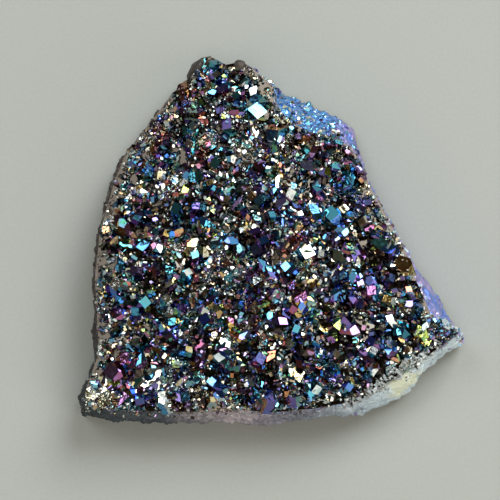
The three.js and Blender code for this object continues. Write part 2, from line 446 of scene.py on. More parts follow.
def quartz_point(random):
    """A point of radius 1, with its tip at the origin and its root below."""
    bm = bmesh.new()
    bmesh.ops.create_cone(bm, cap_ends=True, segments=6, radius1=1, radius2=1, depth=LENGTH + 1)
    bmesh.ops.translate(bm, verts=bm.verts, vec=(0, 0, (1 - LENGTH) / 2))
    retreat = random.uniform(0, 0.9)  # how much less every other cut may take off
    broadest = random.integers(6)
    for k in range(6):
        depth = random.uniform(0, 0.5) if k % 2 else random.uniform(-retreat, 0.15)
        if k == broadest:
            depth += random.uniform(0, 0.9)
        cut(bm, depth, SLOPE, (k + 0.5) * math.pi / 3)
    if random.uniform() < SCARRED:
        cut(bm, random.uniform(0.25, 0.75), random.uniform(0.3, 1.2), random.uniform(0, 2 * math.pi))
    bmesh.ops.remove_doubles(bm, verts=bm.verts, dist=SLIVER)
    bmesh.ops.scale(bm, verts=bm.verts, vec=(1, random.uniform(0.6, 1), 1))
    bmesh.ops.recalc_face_normals(bm, faces=bm.faces)
    return mesh_of(bm, "point")


chance = np.random.default_rng(7)
POINTS = [quartz_point(chance) for _ in range(36)]
print("points", [len(point.polygons) for point in POINTS])

# %% [markdown]
# ## Thousands of points as one mesh
#
# An object for each point would be slow, and instances are lost in the export. So the points' arrays are
# copied, turned and joined, and each piece becomes one mesh. Every face gets a place of its own in the
# mesh's UV map, where its colour can be baked.


# %% Arrays of one point
def read(items, name, width=1, kind=float):
    """A value of every item, or a few values each, as an array."""
    values = np.empty(len(items) * width, dtype=kind)
    items.foreach_get(name, values)
    return values.reshape(-1, width) if width > 1 else values


def arrays_of(mesh):
    """A mesh's vertices, its corners' vertices, and its faces' corner counts and normals."""
    corners = read(mesh.loops, "vertex_index", kind=np.int64)
    sizes = read(mesh.polygons, "loop_total", kind=np.int64)
    return read(mesh.vertices, "co", 3), corners, sizes, read(mesh.polygons, "normal", 3)


MARGIN = 0.12  # round a face, in its square of the UV map


def atlas_of(mesh):
    """The corners' places in the unit square, where each face has a square of its own."""
    vertices, corners, sizes, normals = arrays_of(mesh)
    side = math.ceil(math.sqrt(len(sizes)))
    places = np.empty((len(corners), 2))
    start = 0
    for face, size in enumerate(sizes):
        turn = Vector(normals[face]).rotation_difference(UP).to_matrix()
        flat = (vertices[corners[start : start + size]] @ np.array(turn).T)[:, :2]
        flat = (flat - flat.min(0)) / np.ptp(flat, axis=0).clip(1e-6)
        cell = np.array([face % side, face // side])
        places[start : start + size] = (cell + MARGIN + (1 - 2 * MARGIN) * flat) / side
        start += size
    return places


SHAPES = [(*arrays_of(point), atlas_of(point)) for point in POINTS]
print("shapes", len(SHAPES))

# %% Arrays of all the points
GLOW = Vector((0.35, 0.45, 0.82)).normalized()  # where the vapour came from
USUAL_GLOW = 0.6  # how squarely most faces look at it, as a cosine


def joined_arrays(seats, facing, scatter):
    """A point on each seat, as arrays. A seat is a tip, an axis, a radius and a film."""
    side = math.ceil(math.sqrt(len(seats)))
    copies = []
    offset = 0
    for number, (tip, axis, radius, film) in enumerate(seats):
        vertices, corners, sizes, normals, atlas = SHAPES[chance.integers(len(SHAPES))]
        spin = Quaternion(UP, chance.uniform(0, 2 * math.pi))
        turn = np.array((UP.rotation_difference(axis) @ spin).to_matrix())
        lit = normals @ turn.T @ np.array(GLOW)
        films = film + facing * (lit - USUAL_GLOW) + chance.uniform(-scatter, scatter, len(sizes))
        cell = np.array([number % side, number // side])
        standing = vertices @ turn.T * radius + np.array(tip)
        copies.append((standing, corners + offset, sizes, films, (cell + atlas) / side))
        offset += len(vertices)
    return [np.concatenate(arrays) for arrays in zip(*copies)]


# %% All the points as one mesh
def grow(name, seats, finish, facing=0.25, scatter=0.1):
    """A piece with a point on each seat, whose film shifts with its faces' facing and by chance."""
    vertices, corners, sizes, films, atlas = joined_arrays(seats, facing, scatter)
    mesh = bpy.data.meshes.new(name)
    mesh.vertices.add(len(vertices))
    mesh.vertices.foreach_set("co", vertices.ravel())
    mesh.loops.add(len(corners))
    mesh.loops.foreach_set("vertex_index", corners)
    mesh.polygons.add(len(sizes))
    mesh.polygons.foreach_set("loop_start", np.concatenate([[0], np.cumsum(sizes)[:-1]]))
    mesh.uv_layers.new(name="OFBake").data.foreach_set("uv", atlas.ravel())
    mesh.attributes.new("film", "FLOAT", "FACE").data.foreach_set("value", films)
    mesh.update(calc_edges=True)
    mesh.validate()
    mesh.shade_flat()
    mesh.materials.append(finish)
    piece = placed(name, mesh)
    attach(piece, "root")
    print(name, len(seats), "points,", len(corners) - 2 * len(sizes), "triangles")
    return piece


# %% [markdown]
# ## Where the points stand
#
# Each place comes from a jittered grid that is dropped onto what has grown so far. A place much higher
# than the bare crust lies on a crystal and is left out, so that each tier of points fills the gaps that
# the larger ones left.

# %% Search trees
CUT_OFF = 0.3 * MM  # a level face this far below the sheet was cut off by the edge


def tree_of(objects, wanted=lambda face: True):
    """A search tree of the faces wanted."""
    places, faces = [], []
    for piece in objects:
        offset = len(places)
        places += [vertex.co.copy() for vertex in piece.data.vertices]
        chosen = filter(wanted, piece.data.polygons)
        faces += [[offset + corner for corner in face.vertices] for face in chosen]
    return BVHTree.FromPolygons(places, faces)


def is_cut_off(face):
    """Whether a face is a part of the sheet that crystals along the edge cut off."""
    lower = face.center.z < sheet_tree.find_nearest(face.center)[0].z - CUT_OFF
    return lower and face.normal.z > 0.95


sheet_tree = tree_of([crust], lambda face: face.index in sheet)
sheet.update([face.index for face in crust.data.polygons if is_cut_off(face)])
sheet_tree = tree_of([crust], lambda face: face.index in sheet)
crust_tree = tree_of([crust])
print("faces between the crystals, along the edge too:", len(sheet))

# %% Finding a place
DROP = high.z + 20 * MM  # well above everything
STATIONS = 8  # places round a place, where its surroundings are looked at


def across(share_x, share_y):
    """A place in plan, given as shares of the slab's length and width."""
    return Vector((low.x + share_x * (high.x - low.x), low.y + share_y * (high.y - low.y), 0))


def below(tree, place):
    """Where a plumb line through a place first meets the tree, and the normal there."""
    found, normal, _, _ = tree.ray_cast(Vector((place.x, place.y, DROP)), -UP)
    return found, normal


def is_inside(place, margin):
    """Whether the crust reaches as far as a margin all round a place."""
    for k in range(STATIONS):
        turn = k * 2 * math.pi / STATIONS
        station = place + Vector((math.cos(turn), math.sin(turn), 0)) * margin
        if below(crust_tree, station)[0] is None:
            return False
    return True


def scattered(tree, pitch):
    """Places on a jittered grid over the slab, with the normal at each."""
    for y in np.arange(low.y, high.y, pitch):
        for x in np.arange(low.x, high.x, pitch):
            stray = chance.uniform(-0.5, 0.5, 2) * pitch
            place, normal = below(tree, Vector((x + stray[0], y + stray[1], 0)))
            if place is not None:
                yield place, normal


def places_on(faces, pitch):
    """Places spread over faces, pitch apart on average, with the normal at each."""
    for face in faces:
        corners = [face.id_data.vertices[corner].co for corner in face.vertices]
        for _ in range(chance.poisson(face.area / pitch**2)):
            shares = chance.dirichlet(np.ones(len(corners)))
            place = sum((corner * share for corner, share in zip(corners, shares)), Vector())
            yield place, face.normal.copy()


def leaning(normal, most):
    """A direction up to so many degrees away from the normal."""
    lean = math.radians(most) * math.sqrt(chance.uniform())
    turn = chance.uniform(0, 2 * math.pi)
    return UP.rotation_difference(normal) @ direction(lean, turn)


# %% [markdown]
# ## The slab's pale side
#
# On one side the crust has lost the points along its rim, and the rock below is smooth and whitish. A
# painted mask could mark that side, but two directions from the slab's middle do it in a line.

# %% The pale side
LOST_SIDE = (-1.25, -1.0, -0.7, -0.58)  # radians: starts, is whole, fades, ends
PALE_SIDE = (-1.3, -1.0, -0.52, -0.42)
BARE_RIM = 0.9 * MM


def smooth_step(value, start, end):
    """Goes smoothly from 0 to 1 while the value goes from start to end."""
    share = min(max((value - start) / (end - start), 0), 1)
    return share * share * (3 - 2 * share)


def on_side(place, side):
    """1 on a side of the slab, and 0 elsewhere."""
    turn = math.atan2(place.y, place.x)
    start, whole, fading, end = side
    return smooth_step(turn, start, whole) * (1 - smooth_step(turn, fading, end))


def lost_rim(place):
    """How far in from the edge the crust has lost its points."""
    return BARE_RIM * on_side(place, LOST_SIDE)


def paleness(place):
    """1 where the rock is smooth and whitish, and 0 elsewhere."""
    return on_side(place, PALE_SIDE)


# %% [markdown]
# ## Pits with painted shade, and rises
#
# In the pits of the druse each point gets a near-black or plum film, and on the rises every point shines.
# The near black is painted shade of the dips, and the plum is partly the film's own colour and partly
# painted shade. One stretch towards the front has more of these shaded pits than the rest. Noise decides
# it for each point, which is less work than painting thousands of them.

# %% Films by place
PIT = 2.4 * MM  # size of the hollows and of the rises between them
SHADED_HOLLOW = across(0.41, 0.17)  # the middle of the stretch with the most painted shade in pits
HOLLOW_REACH = (9 * MM, 3.5 * MM)  # from no effect to all of it
SHINE = 0.13  # raises the share of places that shine
GLOOM = 0.48  # lowers it in the hollow
PIT_SHADE_FILMS = (-0.12, 0.03)  # near-black films, painted shade in the pits
# plum films in the pits, partly the film's own colour and partly painted shade
PLUM_AND_PIT_SHADE = (0.12, 0.21)
PLUM_SHARE = 0.3  # the share of pits with a plum film


def film_at(place, films, share, pits):
    """A film between two, unless the place is in a pit, where its near-black or plum film is painted
    shade, the plum partly the film's own colour.
    """
    gloom = smooth_step((place - SHADED_HOLLOW).xy.length, *HOLLOW_REACH)
    if noise.noise(place / PIT) + SHINE - GLOOM * gloom > pits:
        return films[0] + (films[1] - films[0]) * share
    least, most = PLUM_AND_PIT_SHADE if share < PLUM_SHARE else PIT_SHADE_FILMS
    return chance.uniform(least, most)


print("the most pits at", [round(value / MM, 1) for value in SHADED_HOLLOW], "mm")

# %% [markdown]
# ## A carpet of points
#
# Along the edge a large point's root would stick out of the break. Such a point is stood upright and
# made smaller until it fits, because leaving it out would leave a bare strip. The break bites deeper in
# some places, so the room that a point needs varies along it.

# %% One tier of points
RAGGED = 2.1 * MM  # size of the bites in the crust's edge
ROOM = 0.75  # how far a point keeps from the edge, in its own radii
BITE = 0.45  # how much that goes up and down
SMALLEST = 0.1 * MM
MOST_LEAN = 60  # degrees


def carpet(tree, pitch, radii, heights, ceiling, films, pits):
    """Seats where the surface is less than ceiling above the bare sheet, all in mm."""
    seats = []
    for place, _ in scattered(tree, pitch * MM):
        bare, normal, _, _ = sheet_tree.find_nearest(place)
        share = chance.uniform(0, 1, 3)
        axis = leaning(normal, MOST_LEAN)
        if place.z - bare.z > ceiling * MM:
            continue
        radius = (radii[0] + (radii[1] - radii[0]) * share[0] ** 1.6) * MM
        height = (heights[0] + (heights[1] - heights[0]) * share[1]) * MM
        tip = Vector((place.x, place.y, bare.z)) + normal * height
        if not is_inside(tip, lost_rim(place)):
            continue
        room = ROOM + BITE * noise.noise(place / RAGGED)
        if not is_inside(tip - axis * radius * 0.6 * LENGTH, room * radius):
            axis = normal
            while radius > SMALLEST and not is_inside(tip, room * radius):
                radius *= 0.7
                tip -= normal * 0.2 * height
        seats.append((tip, axis, radius, film_at(place, films, share[2], pits)))
    return seats


# %% [markdown]
# ## Points of all sizes
#
# Points of all sizes stand between the broad crystals, and some sit on them as guests. If all grew at
# once, most small ones would be buried, so the larger tiers come first. Guests keep off level faces,
# where a single one looks like a chip out of a mirror.

# %% Guests on the broad crystals
BROAD = 1.8 * MM**2  # a face larger than this has guests on it
GUEST_PITCH = 0.9 * MM
GUEST_RADII = (0.22, 0.65)  # mm
UPRIGHT = (0.2, 0.93)  # limits on how far up its normal may point, as a cosine

broad_faces = [face for face in crust.data.polygons if face.index not in sheet and face.area > BROAD]
guest_seats = []
for place, normal in places_on(broad_faces, GUEST_PITCH):
    radius = chance.uniform(*GUEST_RADII) * MM
    if UPRIGHT[0] < normal.z < UPRIGHT[1] and is_inside(place, radius):
        tip = place + normal * chance.uniform(0.3, 1.1) * radius
        guest_seats.append((tip, leaning(normal, 35), radius, chance.uniform(0, 1)))
guests = grow("points_on_broad_ones", guest_seats, vivid_quartz)

# %% Points between the broad crystals
TIERS = {  # pitch, radii, heights and ceiling in mm, films, noise of the pits
    "middle": (1.7, (0.55, 1.4), (0.4, 1.4), 0.8, (0, 1), -0.5),
    "small": (1.15, (0.40, 0.95), (0.3, 1.1), 0.9, (0.1, 0.98), -0.35),
    "fine": (0.78, (0.20, 0.50), (0.15, 0.7), 0.7, (0.49, 0.68), -0.15),
}

middle = grow("middle_points", carpet(crust_tree, *TIERS["middle"]), vivid_quartz)
small = grow("small_points", carpet(tree_of([crust, middle]), *TIERS["small"]), filmed_quartz)
filled = tree_of([crust, guests, middle, small])
for number in (1, 2):
    seats = carpet(filled, *TIERS["fine"])
    grow(f"fine_points_{number}", seats, silvery_quartz, facing=0.15, scatter=0.07)


# %% [markdown]
# ## Sugar patches
#
# In places a later growth covered the crystals, large and small, with a sugar of tiny ones. A bump map
# could suggest it, but sugar glitters grain by grain, and only real faces do that. Each patch is a circle
# in plan, with waves in its edge.

# %% Sugar patches
SUGAR = [  # middle as shares of the slab, radius in mm, and film
    (0.38, 0.38, 3.0, 0.56),
    (0.24, 0.62, 2.2, 0.62),
    (0.26, 0.11, 2.4, 0.50),
    (0.19, 0.76, 1.8, 0.66),
    (0.32, 0.75, 2.2, 0.62),
    (0.09, 0.04, 1.8, 0.60),
    (0.63, 0.10, 1.3, 0.34),
    (0.66, 0.70, 1.3, 0.60),
    (0.52, 0.90, 1.2, 0.78),
    (0.83, 0.47, 1.0, 0.76),
    (0.88, 0.36, 1.1, 0.24),
]
SUGAR_PITCH = 0.27 * MM
WAVE = 0.9 * MM  # size of the waves in a patch's edge
GRAIN_LEAN = 40  # degrees


def sugar_on(place, normal, sizes, rises, film):
    """A seat for a grain of sugar, its radius and rise between limits in mm."""
    size = chance.uniform(*sizes) * MM
    tip = place + normal * chance.uniform(*rises) * MM
    return tip, leaning(normal, GRAIN_LEAN), size, film


sugar_seats = []
for place, normal in scattered(filled, SUGAR_PITCH):
    wave = noise.noise(place / WAVE)
    for share_x, share_y, radius, film in SUGAR:
        distance = (place - across(share_x, share_y)).xy.length / (radius * MM)
        if distance + 0.35 * wave < 0.95:
            seat = sugar_on(place, normal, (0.10, 0.21), (0.05, 0.16), film + 0.15 * wave)
            sugar_seats.append(seat)
            break
grow("sugar_points", sugar_seats, filmed_quartz, scatter=0.12)

# %% [markdown]
# ## Sugar along the rim
#
# The film has also settled on grains along the snapped rim, silvery or dark, but blue where the vapour
# came straight at them. A frosted strip would look painted on, so each is a quartz point once more, with
# little more than its tip showing.

# %% Sugar on the rim
RIM_PITCH = 0.3 * MM
RIM_WIDTH = 0.75 * MM
RIM_SHARE = 0.75  # of the places along the rim that have a grain
BRINK = 0.08 * MM  # as close to the edge as a grain may stand
RIM_FILMS = (-0.05, 0.0, 0.03, 0.14, 0.57, 0.60, 0.64, 0.86)
SLOPE_FILMS = (0.20, 0.24, 0.27, 0.30, 0.33, 0.36, 0.40, 0.45, 0.50, 0.58)


def above_slope(place):
    """Whether a place is by the upper slope, where the film is blue."""
    return place.y > 0.3 * high.y and place.x > -3 * MM


def at_sharp_corner(place):
    """Whether a place is near the sharp corner, which is blue too."""
    return place.x > 0.85 * high.x


rim_seats = []
for place, normal in scattered(filled, RIM_PITCH):
    blue = above_slope(place) or at_sharp_corner(place)
    share, film = chance.uniform(), chance.choice(SLOPE_FILMS if blue else RIM_FILMS)
    if not is_inside(place, lost_rim(place)):
        continue
    if share < RIM_SHARE and not is_inside(place, RIM_WIDTH) and is_inside(place, BRINK):
        rim_seats.append(sugar_on(place, normal, (0.10, 0.26), (0.03, 0.16), film))
grow("rim_sugar", rim_seats, filmed_quartz, facing=0.1, scatter=0.05)

# %% [markdown]
# ## Film on the broad crystals
#
# The broad crystals are one mesh, so their films can't be dealt out one by one. But the faces of a crystal
# lie close together, and cell noise, one number for all of a cube of space, gives most of them the same
# film. The sheet between the crystals gets a film below the ramp's start, which makes it near black:
# painted shade in the gaps between the crystals.

# %% Film on the crust
SHEET_SHADE_FILM = -0.2  # below the ramp's start: near black, painted shade for the sheet
CRYSTAL = 2.6 * MM  # size of the cubes that share a film
DEAL = Vector((10, 1, 0))  # another shift deals other films
THINNEST = 0.12
SPREAD = 0.54  # how much thicker the thickest is

films = []
for face in crust.data.polygons:
    # painted shade: the sheet between the crystals is near black
    if face.index in sheet:
        films.append(SHEET_SHADE_FILM)
        continue
    dealt = noise.cell(face.center / CRYSTAL + DEAL) % 1
    film = THINNEST + SPREAD * dealt + 0.2 * (face.normal.dot(GLOW) - USUAL_GLOW)
    films.append(film + chance.uniform(-0.06, 0.06))
crust.data.attributes.new("film", "FLOAT", "FACE").data.foreach_set("value", films)
print("films on the crust from", round(min(films), 2), "to", round(max(films), 2))

# %% [markdown]
# ## The matrix
#
# The rock was broken all round. The packed slab has its large shape, in faces too large to be shaped
# further. Cutting them up would leave long thin ones, so a voxel remesh gives an even mesh instead.

# %% Even mesh
VOXEL = 0.25 * MM

matrix = copy_of("matrix", "matrix_rock")
remesh = matrix.modifiers.new("remesh", "REMESH")
remesh.mode = "VOXEL"
remesh.voxel_size = VOXEL
even = matrix.evaluated_get(bpy.context.evaluated_depsgraph_get())
rock_mesh = bpy.data.meshes.new_from_object(even)
matrix.modifiers.clear()
matrix.data = rock_mesh
print("matrix", len(rock_mesh.polygons), "quads")

# %% [markdown]
# ## Chips
#
# Broken rock is a patchwork of flat chips, large ones with smaller ones on them. A bump map wouldn't
# show along the outline, so each vertex moves by the height of the chip that it lies on. The foot stays
# flat, and so does what the crust covers. Three marks on the vertices serve the material.

# %% Chips
STAIN = across(0.82, 0.125) + 0.6 * high.z * UP  # the middle of a cream-coloured stain
CHIPS = ((4.0, 0.07), (1.6, 0.19), (0.8, 0.30))  # size of a chip in mm, and how steeply it tilts
CLEAR = 0.3 * MM  # closer to the resting surface than this, nothing moves
SWELL = 0.5 * MM  # how far the rock bulges by the stain
SWELL_REACH = (2.0 * MM, 6.0 * MM)  # from the stain's middle, for a fading bulge


def chip_height(place):
    """How far broken rock stands out: each chip is a tilted plane over its own cell."""
    height = 0
    for size, steepness in CHIPS:
        at = place / (size * MM)
        centre = noise.voronoi(at)[1][0]
        tilt = noise.cell_vector(centre * 97)
        height += steepness * size * tilt.dot(at - centre)
    return height * MM


def is_covered(place):
    """Whether the crust is straight above a place."""
    return crust_tree.ray_cast(place, UP)[0] is not None


def coat_at(place, normal):
    """How much film the rock has: on the right, where it faces the vapour under a whole rim."""
    coat = smooth_step(normal.dot(GLOW), 0.35, 0.65) * smooth_step(place.x, -4 * MM, 0)
    return coat * (1 - lost_rim(place) / BARE_RIM)


def frost_at(place):
    """1 on the upper slope, whose film is frosted, and 0 further round."""
    return smooth_step(place.y / high.y, 0.25, 0.5) * (1 - smooth_step(place.x / high.x, 0.3, 0.42))


marks, moved = [], []
places = map(Vector, read(rock_mesh.vertices, "co", 3))
normals = map(Vector, read(rock_mesh.vertices, "normal", 3))
for place, normal in zip(places, normals):
    share = smooth_step(place.z, CLEAR, 6 * CLEAR) * (normal.z <= 0.5 or not is_covered(place))
    if place.z < CLEAR and normal.z < -0.7:
        place.z = 0
    marks.append((coat_at(place, normal), frost_at(place), paleness(place)))
    swell = SWELL * (1 - smooth_step((place - STAIN).length, *SWELL_REACH))
    moved.append(place + normal * (chip_height(place) + swell) * share)
rock_mesh.vertices.foreach_set("co", np.array(moved).ravel())
for name, values in zip(("coat", "frost", "pale"), zip(*marks)):
    rock_mesh.attributes.new(name, "FLOAT", "POINT").data.foreach_set("value", values)
rock_mesh.shade_smooth()
rock_mesh.update()
print("chips of", [size for size, _ in CHIPS], "mm")

# %% [markdown]
# ## The colours of the rock
#
# The rock grew in layers, and one side of it is brown with iron, one bluish grey and one nearly white. The
# ramp by side is partly these colours and partly painted light: painted shadow with a pinkish painted
# reflection darkens the left side, painted shade darkens the front-left corner, and painted light makes
# the right side paler. Painting that would need an image. Two ramps, one for the height and one for the
# direction, multiply into it, and noise makes the layers waver.

# %% Rock colours
LAYERS = [  # from the resting surface up to the crystals
    (0.00, (0.22, 0.18, 0.15)),
    (0.07, (0.34, 0.30, 0.26)),
    (0.13, (0.62, 0.64, 0.63)),
    (0.22, (0.80, 0.85, 0.85)),
    (0.25, (1.00, 1.00, 1.00)),
    (0.28, (0.76, 0.82, 0.82)),
    (0.42, (0.88, 0.93, 0.93)),
    (0.45, (0.64, 0.69, 0.70)),
    (0.52, (0.90, 0.93, 0.93)),
    (0.56, (1.00, 1.00, 0.98)),
    (0.62, (0.92, 0.95, 0.94)),
    (0.84, (0.90, 0.94, 0.94)),
    (0.93, (0.66, 0.62, 0.57)),
    (1.00, (0.66, 0.62, 0.57)),
]
AROUND_WITH_PAINTED_LIGHT = [  # counted from -X through -Y, +X and +Y
    # dark brown at -X is partly painted shadow with a pinkish painted reflection, dark teal at the
    # front-left partly painted shade, and the pale rows from the front-right round to +X partly painted
    # light
    (0.00, (0.12, 0.08, 0.065)),
    (0.09, (0.10, 0.08, 0.07)),
    (0.12, (0.04, 0.058, 0.062)),
    (0.16, (0.12, 0.145, 0.165)),
    (0.215, (0.80, 0.68, 0.72)),
    (0.27, (0.36, 0.36, 0.43)),
    (0.31, (0.70, 0.80, 0.88)),
    (0.37, (0.82, 0.95, 1.0)),
    (0.47, (0.82, 0.95, 1.0)),
    (0.58, (0.45, 0.47, 0.55)),
    (0.74, (0.30, 0.32, 0.38)),
    (0.80, (0.12, 0.10, 0.08)),
    (0.88, (0.12, 0.085, 0.07)),
    (1.00, (0.12, 0.08, 0.065)),
]


def layered_rock(shader):
    """The colour of the rock by its height and by the side of the slab, with painted light and shade by
    side.
    """
    wobble = shader.grain(5 * MM, detail=3) - 0.5
    x, y, height = (shader.node("SeparateXYZ", {0: shader.place}, output=axis) for axis in "XYZ")
    layer = height * (1 / high.z) + wobble * 0.22
    layers = shader.node("ValToRGB", {"Fac": layer}, stops=LAYERS)
    around = y.math("ARCTAN2", y, x) * (0.5 / math.pi) + 0.5 + wobble * 0.06
    # the ramp by side is partly painted light and shade
    sides_with_painted_light = shader.node("ValToRGB", {"Fac": around}, stops=AROUND_WITH_PAINTED_LIGHT)
    return shader.mix(1.0, layers, sides_with_painted_light, blend="MULTIPLY")


# %% [markdown]
# ## The surface of the rock
#
# Close by, the rock is a mass of grains, with dirt, pores and fibres. Each is noise that multiplies a dark
# over the colour, and less so on the cleaner, pale side. The broad mottle is partly the rock's own tone
# and partly painted shade, standing in for the shade of relief that the soft light doesn't bring out. Over
# that lie the cream stain and, on the slopes that face the vapour, the film.

# %% Dirt and painted shade on the rock
DIRT_AND_SHADE = [  # noise size in mm, detail, roughness, its step from start to end and the shares there, colour
    # the first row, a broad mottle, is partly the rock's own tone and partly painted shade of its relief
    (0.7, 5, 0.7, (0.38, 0.62, 0.9, 0.0), (0.42, 0.42, 0.45)),
    (0.35, 4, 0.7, (0.55, 0.7, 0.0, 0.6), (0.15, 0.13, 0.12)),
]
CLEANLINESS = 0.85  # how much less of it the pale side has
GRAIN = 0.42 * MM
GRAIN_COLOUR = (0.42, 0.41, 0.44)
FIBRES = 0.35 * MM
FIBRE_COLOUR = (0.10, 0.10, 0.10)


def grains_in(shader):
    """The links of a Voronoi texture whose cells are the rock's grains, lying flat."""
    flattened = shader.node("Mapping", {"Vector": shader.place, "Scale": (0.8, 0.8, 1.5)})
    return {"Vector": flattened, "Scale": 1 / GRAIN}


def dirtied_and_shaded(shader, colour):
    """The colour with mottling that is partly painted shade, pores, darker grains and fibres."""
    dirt_and_shade = 1 - shader.attribute("pale") * CLEANLINESS
    for size, detail, roughness, steps, dark in DIRT_AND_SHADE:
        spots = shader.grain(size * MM, detail=detail, roughness=roughness).step(*steps)
        colour = shader.mix(spots * dirt_and_shade, colour, dark, blend="MULTIPLY")
    tone = shader.node("TexVoronoi", grains_in(shader), output=1).step(0.25, 0.75, 0.0, 0.45)
    colour = shader.mix(tone * dirt_and_shade, colour, GRAIN_COLOUR, blend="MULTIPLY")
    stretched = shader.node("Mapping", {"Vector": shader.place, "Scale": (0.3, 0.3, 1.6)})
    fibres = shader.node("TexNoise", {"Vector": stretched, "Scale": 1 / FIBRES, "Detail": 3})
    fibres = fibres.step(0.5, 0.75, 0.0, 0.45)
    return shader.mix(fibres * dirt_and_shade, colour, FIBRE_COLOUR, blend="MULTIPLY")


# %% Stain and film on the rock
CREAM = (0.90, 0.94, 0.68)
STAIN_NOISE = 5  # mm
STAIN_EDGE = (4.8, 6.0)  # mm from its middle, about half of the noise included
LILAC = (0.55, 0.46, 0.80)
ROYAL_BLUE = (0.22, 0.34, 0.86)
SKY_BLUE = (0.12, 0.32, 0.70)


def stained(shader, colour):
    """The colour with the cream stain on it."""
    reach = shader.node("VectorMath", {0: shader.place, 1: STAIN}, output=1, operation="DISTANCE")
    patch = shader.grain(2.0 * MM, detail=4, roughness=0.65)
    stain = (reach * (1 / MM) + patch * STAIN_NOISE).step(*STAIN_EDGE, 1, 0)
    return shader.mix(stain * 0.85, colour, CREAM)


def coated(shader, colour, coat):
    """The colour under film: lilac and royal blue, and sky blue where frosted."""
    clouds = shader.grain(2.2 * MM, detail=3)
    satin = shader.mix(clouds.step(0.4, 0.6), LILAC, ROYAL_BLUE)
    satin = shader.mix(shader.attribute("frost"), satin, SKY_BLUE)
    return shader.mix(coat * 0.9, colour, satin)


print("stain at", [round(value / MM, 1) for value in STAIN], "mm")


# %% Rock material
def rock_material():
    """Layered rock with painted light and shade by side, dirt and painted shade, a stain and film on it,
    and a rough break.
    """
    shader = Shader("chalcedony")
    coat = shader.attribute("coat")
    colour = stained(shader, dirtied_and_shaded(shader, layered_rock(shader)))
    colour = coated(shader, colour, coat)
    grain = shader.grain(0.22 * MM, detail=3)
    pebbles = shader.node("TexVoronoi", grains_in(shader)) * (1 - coat * 0.7)
    relief = shader.grain(0.8 * MM, detail=4, roughness=0.6) + pebbles
    bump = shader.node("Bump", {"Strength": 0.8, "Distance": 0.16 * MM, "Height": grain * 0.5 + relief})
    roughness = grain * 0.3 + 0.40 - coat * 0.15
    return shader.finish(base_color=colour, roughness=roughness, metallic=coat * 0.85, normal=bump)


rock_mesh.materials.clear()
rock_mesh.materials.append(rock_material())
print("rock of", len(rock_mesh.materials[0].node_tree.nodes), "nodes")

# %% [markdown]
# ## The broken edge of the crust
#
# Round its edge the crust was snapped off and shows bare, glassy quartz. Marking the break's faces by hand
# would tie them to one mesh, so they are found by their place. Their colours are the rock's, with its
# painted light and shade by side, so that the two don't part along a line.


# %% Broken quartz
def broken_quartz_material():
    """Glassy broken quartz in the rock's colours, painted light and shade by side included, with dark and
    pale specks.
    """
    shader = Shader("broken_quartz")
    colour = layered_rock(shader)
    speck = shader.grain(0.45 * MM, detail=3)
    colour = shader.mix(speck.step(0.45, 0.6) * 0.75, colour, (0.22, 0.19, 0.17), blend="MULTIPLY")
    colour = shader.mix(speck.step(0.45, 0.3) * 0.6, colour, (0.75, 0.76, 0.74), blend="SCREEN")
    return shader.finish(base_color=colour, roughness=0.22)


def is_snapped(face):
    """Whether a face is off the sheet, close to the edge, and low or steep."""
    if face.index in sheet or is_inside(face.center, 0.5 * MM):
        return False
    height = face.center.z - sheet_tree.find_nearest(face.center)[0].z
    return height < -0.1 * MM or (height < 0.4 * MM and face.normal.z < 0.8)


broken_quartz = broken_quartz_material()
crust.data.materials.append(broken_quartz)
snapped = [face for face in crust.data.polygons if is_snapped(face)]
for face in snapped:
    face.material_index = 1
print("snapped faces", len(snapped))

# %% [markdown]
# ## Grains along the break
#
# Grains stand out of the break, and some stick to the rock below it, fewer further down. Displacement
# would round them, but a snapped grain has flat faces, so nearly buried quartz points serve here too.
# The pale side has larger ones at its rim, and few below it.

# %% Grains on the crust's edge
EDGE_PITCH = 0.17 * MM
SNAPPED_PITCH = 0.28 * MM
GRAIN_RADII = (0.14, 0.36)  # mm

edge_seats, gilt_seats = [], []
for place, normal in scattered(filled, EDGE_PITCH):
    if is_inside(place, lost_rim(place)) or not is_inside(place, BRINK):
        continue
    pale = paleness(place)
    tip = place + normal * chance.uniform(0.03, 0.16 + 0.16 * pale) * MM
    axis = leaning(normal, GRAIN_LEAN)
    seat = (tip, axis, chance.uniform(*GRAIN_RADII) * MM, chance.choice(RIM_FILMS))
    (gilt_seats if chance.uniform() < 0.2 - 0.12 * pale else edge_seats).append(seat)
for place, normal in places_on(snapped, SNAPPED_PITCH):
    axis = leaning((normal + UP * 0.4).normalized(), GRAIN_LEAN)
    tip = place + normal * chance.uniform(0.02, 0.18) * MM
    lit = normal.dot(GLOW) > 0.25 and across(0.5, 0.5).x < place.x < 0.42 * high.x
    film = chance.uniform(0.24, 0.5) if lit else chance.choice(RIM_FILMS)
    seat = (tip, axis, chance.uniform(*GRAIN_RADII) * MM, film)
    (gilt_seats if chance.uniform() < (0.9 if lit else 0.35) else edge_seats).append(seat)
grow("broken_crust_edge", edge_seats, broken_quartz)
grow("filmed_crust_edge", gilt_seats, filmed_quartz, facing=0.1, scatter=0.05)

# %% Grains on the rock
ROCK_PITCH = 0.22 * MM
FRINGE = 1.8 * MM  # size of the tongues that they reach down in
STAIN_REACH = 3 * MM  # closer to the stain there are hardly any

